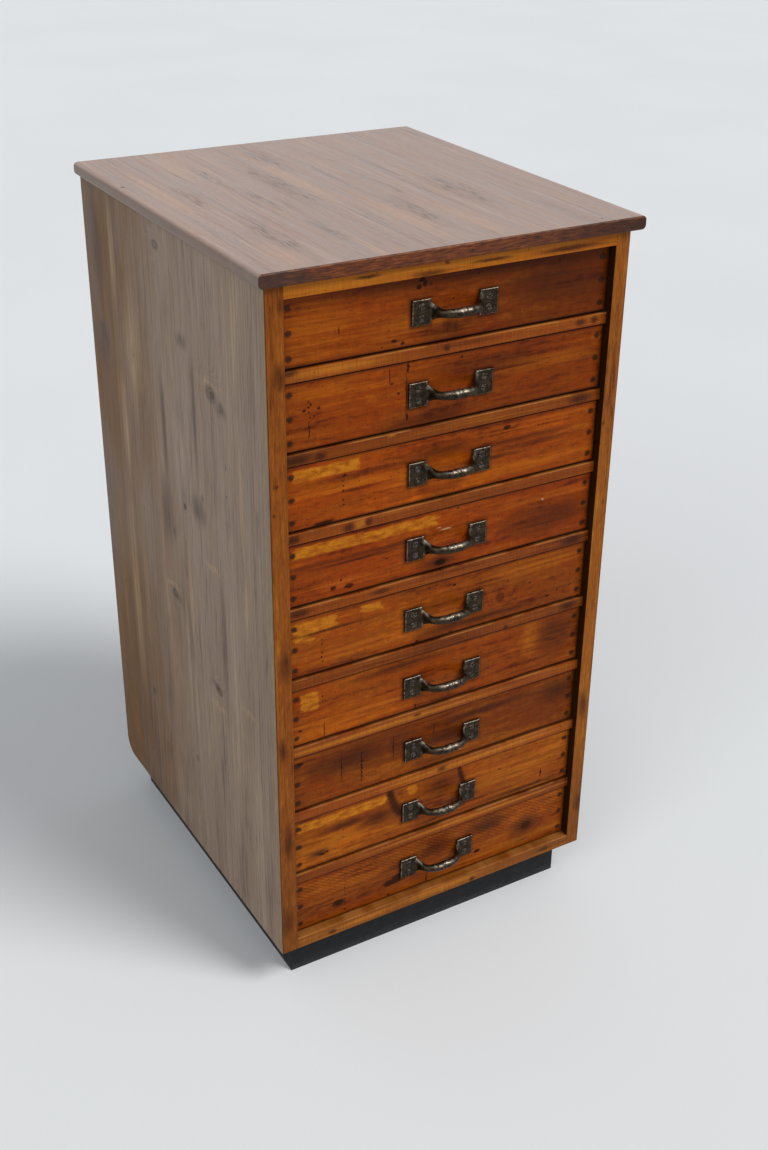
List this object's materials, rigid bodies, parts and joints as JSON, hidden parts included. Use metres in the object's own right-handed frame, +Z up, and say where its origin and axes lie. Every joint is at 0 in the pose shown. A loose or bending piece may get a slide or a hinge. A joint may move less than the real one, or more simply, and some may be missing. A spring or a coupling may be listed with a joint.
{
  "type": "seed storage cabinet",
  "caption": "Floor-standing wooden seed cabinet: a tall narrow case on a recessed black plinth, with equal shallow drawers that slide out by bowed cast-iron pulls",
  "frame": {"origin": "on the floor, under the middle of the whole cabinet's box", "axes": "+Z up, the drawers face -Y, +X to the right of someone facing the drawers"},
  "size_m": [0.505, 0.5579, 0.9805],
  "materials": {
    "slab_wood": "old waxed pine, stained brown, worn dull, grain from front to back",
    "side_wood": "stained and varnished pine boards glued side by side, upright grain, knots",
    "stile_wood": "varnished pine strip, upright grain",
    "rail_wood": "varnished pine, level grain, each rail of another tone",
    "front_wood": "orange-brown varnished pine with stains, knots and worn paler patches",
    "raw_wood": "bare aged pine",
    "black_paint": "pine painted matt black",
    "cast_iron": "blackened cast iron, rubbed bright on its edges and where it is held",
    "fixing_iron": "dark rusted iron"
  },
  "bodies": {
    "carcass": {"top_slab": "slab_wood", "left_side_panel": "side_wood", "right_side_panel": "side_wood", "left_stile": "stile_wood", "right_stile": "stile_wood", "top_rail": "rail_wood", "bottom_rail": "rail_wood", "drawer_rails": "rail_wood", "left_runners": "raw_wood", "right_runners": "raw_wood", "floor_board": "raw_wood", "rear_top_rail": "raw_wood", "back_boards": "raw_wood", "plinth": "black_paint", "carcass_fixings": "fixing_iron"},
    "drawer_1": {"drawer_1_front": "front_wood", "drawer_1_box": "raw_wood", "drawer_1_bottom": "raw_wood", "drawer_1_pull": "cast_iron", "drawer_1_fixings": "fixing_iron"},
    "drawer_2": {"drawer_2_front": "front_wood", "drawer_2_box": "raw_wood", "drawer_2_bottom": "raw_wood", "drawer_2_pull": "cast_iron", "drawer_2_fixings": "fixing_iron"},
    "drawer_3": {"drawer_3_front": "front_wood", "drawer_3_box": "raw_wood", "drawer_3_bottom": "raw_wood", "drawer_3_pull": "cast_iron", "drawer_3_fixings": "fixing_iron"},
    "drawer_4": {"drawer_4_front": "front_wood", "drawer_4_box": "raw_wood", "drawer_4_bottom": "raw_wood", "drawer_4_pull": "cast_iron", "drawer_4_fixings": "fixing_iron"},
    "drawer_5": {"drawer_5_front": "front_wood", "drawer_5_box": "raw_wood", "drawer_5_bottom": "raw_wood", "drawer_5_pull": "cast_iron", "drawer_5_fixings": "fixing_iron"},
    "drawer_6": {"drawer_6_front": "front_wood", "drawer_6_box": "raw_wood", "drawer_6_bottom": "raw_wood", "drawer_6_pull": "cast_iron", "drawer_6_fixings": "fixing_iron"},
    "drawer_7": {"drawer_7_front": "front_wood", "drawer_7_box": "raw_wood", "drawer_7_bottom": "raw_wood", "drawer_7_pull": "cast_iron", "drawer_7_fixings": "fixing_iron"},
    "drawer_8": {"drawer_8_front": "front_wood", "drawer_8_box": "raw_wood", "drawer_8_bottom": "raw_wood", "drawer_8_pull": "cast_iron", "drawer_8_fixings": "fixing_iron"},
    "drawer_9": {"drawer_9_front": "front_wood", "drawer_9_box": "raw_wood", "drawer_9_bottom": "raw_wood", "drawer_9_pull": "cast_iron", "drawer_9_fixings": "fixing_iron"}
  },
  "joints": [
    {"name": "drawer_1_slide", "type": "slide", "parent": "carcass", "child": "drawer_1", "axis": [0, -1, 0], "range_m": [0, 0.4]},
    {"name": "drawer_2_slide", "type": "slide", "parent": "carcass", "child": "drawer_2", "axis": [0, -1, 0], "range_m": [0, 0.4]},
    {"name": "drawer_3_slide", "type": "slide", "parent": "carcass", "child": "drawer_3", "axis": [0, -1, 0], "range_m": [0, 0.4]},
    {"name": "drawer_4_slide", "type": "slide", "parent": "carcass", "child": "drawer_4", "axis": [0, -1, 0], "range_m": [0, 0.4]},
    {"name": "drawer_5_slide", "type": "slide", "parent": "carcass", "child": "drawer_5", "axis": [0, -1, 0], "range_m": [0, 0.4]},
    {"name": "drawer_6_slide", "type": "slide", "parent": "carcass", "child": "drawer_6", "axis": [0, -1, 0], "range_m": [0, 0.4]},
    {"name": "drawer_7_slide", "type": "slide", "parent": "carcass", "child": "drawer_7", "axis": [0, -1, 0], "range_m": [0, 0.4]},
    {"name": "drawer_8_slide", "type": "slide", "parent": "carcass", "child": "drawer_8", "axis": [0, -1, 0], "range_m": [0, 0.4]},
    {"name": "drawer_9_slide", "type": "slide", "parent": "carcass", "child": "drawer_9", "axis": [0, -1, 0], "range_m": [0, 0.4]}
  ]
}
